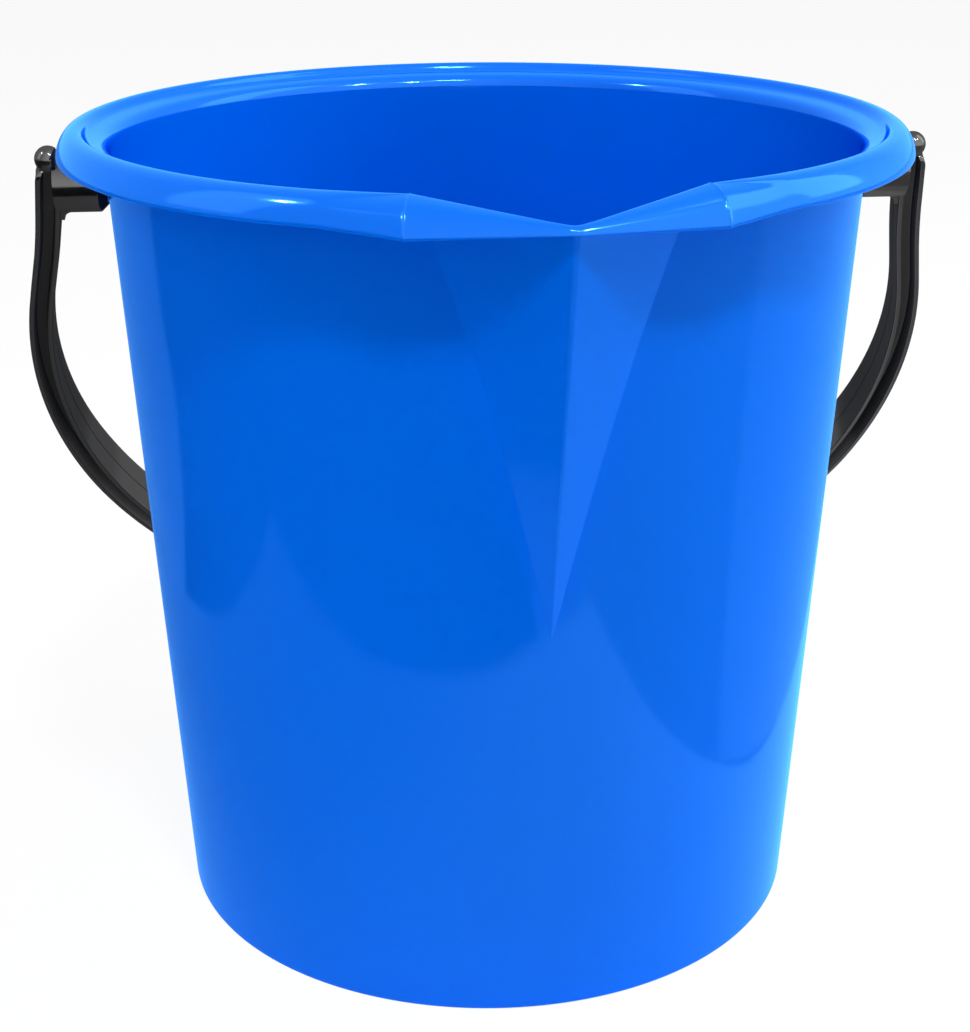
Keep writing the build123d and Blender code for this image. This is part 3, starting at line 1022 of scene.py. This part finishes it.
@dataclass
class Bail:
    """The black moulding: hoop of I section, round heads, sleeves and grip. Sizes in millimetres.

    It is drawn flat, X along the pivot axis, Y from the axis down the arms and Z across the
    section, then hung behind the bucket.

    Attributes, where the name doesn't say it all, with angles in degrees:
        hang: Lean of the hanging bail from straight down.
        play: Shift along the pivot axis.
        arm_end_share: Share of the section that is left at the very end of an arm.
        head_reach: Distance of a head's centre from the pivot axis.
        head_sink: Depth of a head inside the arm's outer face.
        head_flat: Depth of a head's flat side inside the arm's inner face.
        grip_ramp: Turn over which the beam becomes the grip's bar.
        grip_lead: Turn from the first station of the ramp to its start.
        grip_trail: Turn from the ramp's end to its last station.
        grip_gap: Turn from the ramp to the evenly spaced stations.
        sleeve_sink: Depth to which a sleeve reaches into its arm.
        gusset_sink: Depth to which a sleeve's fillet reaches into its arm.
    """

    axis_z: float = 248.5
    hang: float = 31.33
    play: float = 0.2
    depth: float = 8.0
    flange: float = 2.0
    flange_tip: float = 1.75
    flange_start: float = 2.5
    flange_recess: float = 2.2
    flange_end: float = 0.15
    web: float = 3.0
    root_round: float = 0.8
    edge_round: float = 0.45
    ridge: float = 0.12
    ridge_width: float = 0.3
    arm_outer: float = 145.6
    arm_top: float = 8.4
    arm_end_round: float = 3.2
    arm_end_share: float = 0.5
    arm_lean: float = 12.3
    arm_width: float = 11.4
    arm_width_at: float = 6.0
    neck_lean: float = 7.8
    neck_stations: tuple[float, ...] = (-1.0, 1.0, 6.0)
    knee_round: float = 300.0
    hoop_radius: float = 157.6
    hoop_drop: float = 80.0
    head_width: float = 10.4
    head_reach: float = 10.2
    head_radius: float = 4.3
    head_sink: float = 0.9
    head_flat: float = 0.4
    grip_width: float = 18.0
    grip_width_at: float = 144.0
    grip_angle: float = 40.0
    grip_ramp: float = 1.6
    grip_lead: float = 0.6
    grip_trail: float = 0.4
    grip_gap: float = 2.0
    grip_swell: float = 1.0
    grip_round: float = 3.6
    sleeve_start: float = 122.6
    sleeve_radius: float = 9.4
    sleeve_chamfer: float = 2.4
    sleeve_fillet: float = 3.0
    sleeve_sink: float = 1.7
    sleeve_edges: Pair = (0.3, 0.5)
    bore: float = 6.1
    bore_chamfer: float = 1.2
    bore_lip: float = 0.8
    bore_edge: float = 0.2
    chamber: float = 6.8
    chamber_length: float = 4.0
    chamber_end: float = 0.2
    gusset_sink: float = 2.6
    gusset_overlap: float = 1.0
    end_steps: int = 6
    knee_steps: int = 8
    hoop_steps: int = 60
    ramp_steps: int = 8
    grip_steps: int = 14
    edge_steps: int = 3
    fillet_steps: int = 8
    bore_steps: int = 4
    ball_steps: int = 18
    head_steps: int = 48
    sleeve_steps: int = 72
    gusset_steps: int = 96
    sharp_angle: float = 28.0
    finish: MouldedPolypropylene = BLACK_POLYPROPYLENE

    def __post_init__(self) -> None:
        """Works out the values that several methods share."""
        self.arm_inner = self.arm_outer - self.depth
        self.grip_edge = 90 - self.grip_angle / 2

    def half_width(self, down: float) -> float:
        """Half the section's width at a distance down from the pivot axis."""
        widths = [self.head_width / 2, self.arm_width / 2, self.grip_width / 2]
        return float(np.interp(down, [-self.arm_top, self.arm_width_at, self.grip_width_at], widths))

    def route(self) -> list[Place]:
        """Lists stations along the outside of the right half, from the head to the grip's middle.

        Returns:
            Place across, place down and the angle of the inward normal in degrees, for each station.
        """
        lean, neck = radians(self.arm_lean), radians(self.neck_lean)
        turn_x, turn_s = polar((0, self.hoop_drop), self.hoop_radius, -self.arm_lean)
        knee_s = (self.arm_outer - turn_x + turn_s * tan(lean)) / (tan(lean) - tan(neck))
        start_s = knee_s - self.knee_round * tan((lean - neck) / 2) * cos(neck)
        start_x = self.arm_outer + start_s * tan(neck)
        tops = []
        for turn in np.linspace(0, 90, self.end_steps + 1):
            tops.append(self.arm_end_round * (1 - cos(radians(turn))) - self.arm_top)
        flange_ends = [self.flange_start - self.flange_end, self.flange_start + self.flange_end]
        tops += sorted([*self.neck_stations, *flange_ends])
        stations = [(self.arm_outer + down * tan(neck), down, 180 - self.neck_lean) for down in tops]
        knee = (start_x + self.knee_round * cos(neck), start_s - self.knee_round * sin(neck))
        for turn in np.linspace(self.neck_lean, self.arm_lean, self.knee_steps + 1):
            stations.append((*polar(knee, self.knee_round, 180 - turn), 180 - turn))
        x, s, _ = stations[-1]
        for share in np.linspace(0, 1, self.knee_steps + 1)[1:-1]:
            stations.append((x + (turn_x - x) * share, s + (turn_s - s) * share, 180 - self.arm_lean))
        full = self.grip_edge + self.grip_ramp
        angles = [
            *np.linspace(-self.arm_lean, self.grip_edge - self.grip_gap, self.hoop_steps),
            *np.linspace(self.grip_edge - self.grip_lead, full + self.grip_trail, self.ramp_steps),
            *np.linspace(full + self.grip_gap, 90, self.grip_steps),
        ]
        for angle in angles:
            stations.append((*polar((0, self.hoop_drop), self.hoop_radius, angle), 180 + angle))
        return stations

    def section(self, down: float, grip: float) -> np.ndarray:
        """Draws the section: depth from the outside, and place across the width.

        Args:
            down: Distance from the pivot axis.
            grip: Share of the grip's round bar in the section, 0 in the open hoop.

        Returns:
            Points of the closed outline.
        """
        wide = self.half_width(down)
        inner_wide = wide - (self.flange_recess if down < self.flange_start else 0)
        depth, web = self.depth, self.web / 2
        beam = [
            (0, wide, self.edge_round),
            (self.flange_tip, wide, self.edge_round),
            (self.flange, web, self.root_round),
            (depth - self.flange, web, self.root_round),
            (depth - self.flange_tip, inner_wide, self.edge_round),
            (depth, inner_wide, self.edge_round),
        ]
        # The bar has as many corners as the beam, so that the one can turn into the other.
        inset = len(beam) - 1
        low, high = -self.grip_swell, depth + self.grip_swell
        step = (high - low - 2 * self.grip_round) / inset
        flats = [(low + self.grip_round + step * i, wide, step / 3) for i in range(1, inset)]
        bar = [(low, wide, self.grip_round), *flats, (high, wide, self.grip_round)]
        outlines = []
        for side in (beam, bar):
            first, last = side[0][0], side[-1][0]
            start = [(first - self.ridge, 0, 0), (first, self.ridge_width / 2, 0)]
            end = [(last, self.ridge_width / 2, 0), (last + self.ridge, 0, 0)]
            half = start + side + end
            loop = half + [(d, -n, cut) for d, n, cut in reversed(half[1:-1])]
            places, cuts = [p[:2] for p in loop], [p[2] for p in loop]
            outlines.append(rounded(places, cuts, self.edge_steps, closed=True))
        return outlines[0] + (outlines[1] - outlines[0]) * grip

    def hoop(self) -> bpy.types.Object:
        """Sweeps the section along the arms and the hoop.

        Returns:
            The swept piece.
        """
        right = self.route()
        stations = right + [(-x, s, 180 - angle) for x, s, angle in reversed(right[:-1])]
        middle = np.array([self.depth / 2, 0.0])
        rings = []
        for x, down, angle in stations:
            turn = (angle - 180) % 360
            near = min(turn, 180 - turn) if turn <= 180 else 0
            grip = smoothstep((near - self.grip_edge) / self.grip_ramp)
            left = max(1 - (down + self.arm_top) / self.arm_end_round, 0.0)
            share = self.arm_end_share + (1 - self.arm_end_share) * sqrt(1 - left**2)
            profile = middle + (self.section(down, grip) - middle) * share
            place = np.array([x, down]) + profile[:, :1] * np.array(polar((0, 0), 1, angle))
            rings.append(np.column_stack([place, profile[:, 1]]))
        count = len(rings[0])
        vertices = np.vstack(rings)
        faces = grid_faces(np.arange(len(vertices)).reshape(len(rings), count))
        faces.append(list(range(count)))
        faces.append(list(range(len(vertices) - count, len(vertices))))
        return add_object("bail", vertices, faces)

    def head(self, side: Side) -> bpy.types.Object:
        """Makes the ball at the end of an arm, cut flat where it faces the rim.

        Args:
            side: End of the pivot axis.

        Returns:
            The ball.
        """
        inner = self.arm_inner + self.head_flat
        centre = self.arm_outer - self.head_sink - self.head_radius
        start = degrees(acos((inner - centre) / self.head_radius))
        ball = arc((centre, 0), self.head_radius, start, 0, self.ball_steps)
        piece = lathe("head", [(inner, 0.0), *ball], side, self.head_steps)
        piece.data.transform(Matrix.Translation((0, -self.head_reach * MM, 0)))
        return piece

    def sleeve(self, side: Side) -> bpy.types.Object:
        """Makes the bored sleeve that turns on the peg.

        Args:
            side: End of the pivot axis.

        Returns:
            The sleeve.
        """
        start, end = self.sleeve_start, self.arm_inner + self.sleeve_sink
        edge = self.bore_edge
        corners = [
            (self.arm_inner - self.chamber_end, 0.0, 0),
            (self.arm_inner - self.chamber_end, self.chamber, edge),
            (self.arm_inner - self.chamber_length, self.chamber, edge),
            (self.arm_inner - self.chamber_length, self.bore, edge),
            (start + self.bore_chamfer, self.bore, edge),
            (start, self.bore + self.bore_chamfer - self.bore_lip, edge / 2),
            (start, self.sleeve_radius - self.sleeve_chamfer, self.sleeve_edges[0]),
            (start + self.sleeve_chamfer, self.sleeve_radius, self.sleeve_edges[1]),
            (end, self.sleeve_radius, 0),
            (end, 0.0, 0),
        ]
        profile = rounded([c[:2] for c in corners], [c[2] for c in corners], self.bore_steps)
        return lathe("sleeve", profile, side, self.sleeve_steps)

    def gusset(self, side: Side) -> bpy.types.Object:
        """Makes the fillet round the underside of the sleeve, as wide as the arm.

        Args:
            side: End of the pivot axis.

        Returns:
            The fillet.
        """
        end = self.arm_inner + self.gusset_sink
        foot = self.sleeve_radius + self.sleeve_fillet
        low = self.sleeve_radius - self.gusset_overlap
        start = self.arm_inner - self.sleeve_fillet
        curve = arc((start, foot), self.sleeve_fillet, -90, 0, self.fillet_steps)
        profile = [*curve, (end, foot), (end, low), (start, low), curve[0]]
        ring = lathe("gusset", profile, side, self.gusset_steps)
        wide = 2 * (self.half_width(foot) - self.edge_round)
        deep = foot + self.gusset_overlap
        slab = block("slab", (side * self.arm_inner, deep / 2, 0), (4 * self.sleeve_fillet, deep, wide))
        combine(ring, slab, Joining.INTERSECT)
        return ring

    def build(self) -> bpy.types.Object:
        """Makes the bail and hangs it behind the bucket.

        Returns:
            The bail's object.
        """
        bail = self.hoop()
        for side in Side:
            for make in (self.head, self.sleeve, self.gusset):
                combine(bail, make(side), Joining.UNION)
        lean = radians(self.hang)
        turn = ((1, 0, 0), (0, sin(lean), cos(lean)), (0, -cos(lean), sin(lean)))
        place = Matrix.Translation((self.play * MM, 0, self.axis_z * MM))
        bail.data.transform(place @ Matrix(turn).to_4x4())
        return bail

    def dress(self, piece: bpy.types.Object) -> None:
        """Gives the bail its finish and its place in the frame.

        Args:
            piece: The bail.
        """
        coat(piece, self.finish.build(), self.sharp_angle)
        # The wall shows no mirror image of the bail.
        piece.visible_glossy = False
        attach(piece, Body.BAIL.value)
        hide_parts("bail_handle")


@dataclass(frozen=True)
class Lamp:
    """A lamp with a flat face.

    Attributes:
        name: Name of the lamp.
        place: Where it stands, in millimetres.
        target: What it points at.
        size: Width and height of its face.
        power: Power in watts.
        gloss_only: Whether it only shows as a highlight and lights nothing.
    """

    name: str
    place: Place
    target: Place
    size: Pair
    power: float
    gloss_only: bool = False

    def build(self) -> None:
        """Adds the lamp to the scene."""
        light = bpy.data.lights.new(self.name, "AREA")
        light.shape = "RECTANGLE"
        light.size, light.size_y = self.size[0] * MM, self.size[1] * MM
        light.energy = self.power
        lamp = bpy.data.objects.new(self.name, light)
        lamp.visible_diffuse = not self.gloss_only
        lamp.location = Vector(self.place) * MM
        lamp.rotation_euler = (Vector(self.target) - Vector(self.place)).to_track_quat("-Z", "Y").to_euler()
        bpy.context.scene.collection.objects.link(lamp)


@dataclass(frozen=True)
class Card:
    """A sheet of the white ground that the bucket stands on.

    Attributes:
        name: Name of the sheet.
        outline: Corners in millimetres, to the camera's right and away from it.
        drop: Depth under the bucket's foot.
        mirrored: Brightness that reflections of it have, at the left and the right of its fade.
        fade: Where that brightness changes, in millimetres to the camera's right.
        colour: sRGB hex value of the paper.
        lit: Share of the picture's ground that shows light and shadow, the rest being even white.
    """

    name: str
    outline: tuple[Point, ...]
    drop: float
    mirrored: Pair
    fade: Pair = (-600, 700)
    colour: str = "#f4f4f4"
    lit: float = 0.08

    def paper(self, right: Vector) -> bpy.types.Material:
        """Makes matt white paper.

        To the eye it is an even white with a faint shadow, and mirrored in the bucket it is as
        bright as asked.

        Args:
            right: Level direction to the camera's right.

        Returns:
            The material.
        """
        material = bpy.data.materials.new(f"{self.name} paper")
        tree = bare_tree(material)
        ray = add_node(tree, "LightPath")
        matt = add_node(tree, "BsdfDiffuse", None, {"Color": linear(self.colour)})
        white = add_node(tree, "Emission", None, {"Color": linear(WHITE)})
        place = add_node(tree, "TexCoord")
        spot = {0: place.outputs["Object"]}
        across = add_node(tree, "VectorMath", spot, {1: right}, operation="DOT_PRODUCT")
        ends = dict(zip(RANGE, (self.fade[0] * MM, self.fade[1] * MM, *self.mirrored)))
        fading = {"Value": across.outputs["Value"]}
        level = add_node(tree, "MapRange", fading, ends, interpolation_type="SMOOTHSTEP")
        glow = add_node(tree, "Emission", {"Strength": level.outputs["Result"]}, {"Color": linear(WHITE)})
        seen_by = {0: ray.outputs["Is Camera Ray"]}
        share = add_node(tree, "Math", seen_by, {1: 1 - self.lit}, operation="MULTIPLY")
        seen = add_node(
            tree,
            "MixShader",
            {0: share.outputs["Value"], 1: matt.outputs["BSDF"], 2: white.outputs["Emission"]},
        )
        shown = add_node(
            tree,
            "MixShader",
            {0: ray.outputs["Is Glossy Ray"], 1: seen.outputs["Shader"], 2: glow.outputs["Emission"]},
        )
        add_node(tree, "OutputMaterial", {"Surface": shown.outputs["Shader"]})
        return material

    def build(self, right: Vector, ahead: Vector) -> None:
        """Lays the sheet.

        Args:
            right: Level direction to the camera's right.
            ahead: Level direction away from the camera.
        """
        corners = [right * x + ahead * y for x, y in self.outline]
        points = [(c.x * MM, c.y * MM, -self.drop * MM) for c in corners]
        mesh = bpy.data.meshes.new(self.name)
        mesh.from_pydata(points, [], [list(range(len(points)))])
        mesh.materials.append(self.paper(right))
        sheet = bpy.data.objects.new(self.name, mesh)
        bpy.context.scene.collection.objects.link(sheet)


# Most lamps face the bucket's mouth.
MOUTH = (0, 0, 250)
SOFTBOXES = (
    Lamp("key softbox", place=(240, -1280, 2140), target=(0, 0, 200), size=(300, 260), power=40.5),
    Lamp("right softbox", place=(1395, 90, 1150), target=MOUTH, size=(700, 1700), power=26.5),
    Lamp("left softbox", place=(-1350, -300, 1050), target=MOUTH, size=(700, 1500), power=13.5),
)
# Small bulbs give the rim its white specks.
BULBS = tuple(
    Lamp(f"{name} bulb", place=(x, y, 1550), target=MOUTH, size=(70, 70), power=40.0, gloss_only=True)
    for name, x, y in (("near", 560, -1173), ("side", 975, -862), ("left", -1210, -476))
)
# The ground's dark and bright areas are those that the wall and the cheeks mirror.
SHEETS = (
    Card(
        "sweep",
        outline=((-2600, -2600), (2600, -2600), (2600, 5400), (-2600, 5400)),
        drop=0.6,
        mirrored=(0.9, 1.3),
    ),
    Card(
        "dim side",
        outline=((-2600, -2600), (80, -2600), (80, -60), (-2600, -60)),
        drop=0.5,
        mirrored=(0.0, 0.0),
    ),
    Card(
        "dark side",
        outline=((-330, -123), (-440, -123), (-755, -162), (-2000, -420), (-2000, 900))
        + ((-745, 283), (-572, 161), (-427, 115), (-312, 100)),
        drop=0.4,
        mirrored=(0.1, 0.1),
    ),
    Card(
        "bright side",
        outline=((196, -81), (332, -94), (614, -107), (2000, -107))
        + ((2000, 3000), (400, 3000), (230, 400), (207, 55)),
        drop=0.4,
        mirrored=(2.0, 2.0),
    ),
    Card(
        "table",
        outline=((-405, -192), (-91, -296), (60, -326), (178, -326), (190, -240), (196, -140), (193, -30))
        + ((207, 55), (230, 400), (-290, 400), (-300, 209), (-305, 79), (-329, -57), (-371, -144)),
        drop=0.2,
        mirrored=(0.85, 3.1),
        fade=(-250, 220),
    ),
)


@dataclass
class Studio:
    """Camera, ground and soft light. Sizes in millimetres, the camera's small turns in radians."""

    image: tuple[int, int] = (970, 1032)
    focal_px: float = 1885.1
    sensor: float = 36.0
    nearest: float = 10.0
    distance: float = 617.7
    eye_height: float = 364.8
    azimuth: float = -4.5
    pitch: float = 0.3649
    yaw: float = -0.0009
    roll: float = -0.0035
    room: float = 0.21
    room_seen: float = 1.0
    room_mirrored: Pair = (2.8, 8.0)
    bright_from: Place = (0.66, -0.75, 0.0)
    lamps: tuple[Lamp, ...] = SOFTBOXES + BULBS
    cards: tuple[Card, ...] = SHEETS

    def view_axes(self) -> tuple[Vector, Vector]:
        """Level directions to the camera's right and away from it."""
        turn = radians(self.azimuth)
        return Vector((cos(turn), sin(turn), 0)), Vector((-sin(turn), cos(turn), 0))

    def camera(self) -> None:
        """Sets up the camera at the photograph's angle."""
        right, ahead = self.view_axes()
        up = Vector((0, 0, 1))
        forward = ahead * cos(self.yaw) + right * sin(self.yaw)
        across = right * cos(self.yaw) - ahead * sin(self.yaw)
        look = forward * cos(self.pitch) - up * sin(self.pitch)
        lift = forward * sin(self.pitch) + up * cos(self.pitch)
        level = across * cos(self.roll) + lift * sin(self.roll)
        stand = lift * cos(self.roll) - across * sin(self.roll)
        matrix = Matrix((level, stand, -look)).transposed().to_4x4()
        matrix.translation = (-ahead * self.distance + up * self.eye_height) * MM
        data = bpy.data.cameras.new("camera")
        data.sensor_width = self.sensor
        data.lens = self.focal_px / max(self.image) * self.sensor
        data.clip_start = self.nearest * MM
        camera = bpy.data.objects.new("camera", data)
        camera.matrix_world = matrix
        bpy.context.scene.collection.objects.link(camera)
        bpy.context.scene.camera = camera

    def world(self) -> None:
        """Fills in the room's soft light, white to the camera and brighter in reflections."""
        world = bpy.data.worlds.new("room")
        bpy.context.scene.world = world
        tree = bare_tree(world)
        ray = add_node(tree, "LightPath")
        place = add_node(tree, "TexCoord")
        direction = {0: place.outputs["Generated"]}
        toward = add_node(tree, "VectorMath", direction, {1: self.bright_from}, operation="DOT_PRODUCT")
        ends = dict(zip(RANGE, (0, 1, *self.room_mirrored)))
        mirrored = add_node(tree, "MapRange", {"Value": toward.outputs["Value"]}, ends)
        glossy = {"Factor": ray.outputs["Is Glossy Ray"], "B": mirrored.outputs["Result"]}
        unseen = add_node(tree, "Mix", glossy, {"A": self.room})
        direct = {"Factor": ray.outputs["Is Camera Ray"], "A": unseen.outputs["Result"]}
        level = add_node(tree, "Mix", direct, {"B": self.room_seen})
        room = add_node(tree, "Background", {"Strength": level.outputs["Result"]}, {"Color": linear(WHITE)})
        add_node(tree, "OutputWorld", {"Surface": room.outputs["Background"]})

    def build(self) -> None:
        """Sets up the whole studio."""
        bpy.context.scene.view_settings.view_transform = "Standard"
        self.camera()
        self.world()
        right, ahead = self.view_axes()
        for card in self.cards:
            card.build(right, ahead)
        for lamp in self.lamps:
            lamp.build()


def main() -> None:
    """Builds the object and its studio, and reports each piece."""
    logging.basicConfig(level=logging.INFO)
    body = BucketBody()
    blue = body.finish.build()
    shell = body.build()
    body.dress(shell, blue, body.shell_sharp)
    pegs = [body.peg(side) for side in Side]
    for peg in pegs:
        body.dress(peg, blue, body.peg_sharp)
    bail = Bail()
    handle = bail.build()
    bail.dress(handle)
    for piece in (shell, *pegs, handle):
        LOG.info("%s: %d points", piece.name, len(piece.data.vertices))
    studio = Studio()
    studio.build()
    LOG.info("studio: camera, %d sheets and %d lamps", len(studio.cards), len(studio.lamps))


if __name__ == "__main__":
    main()
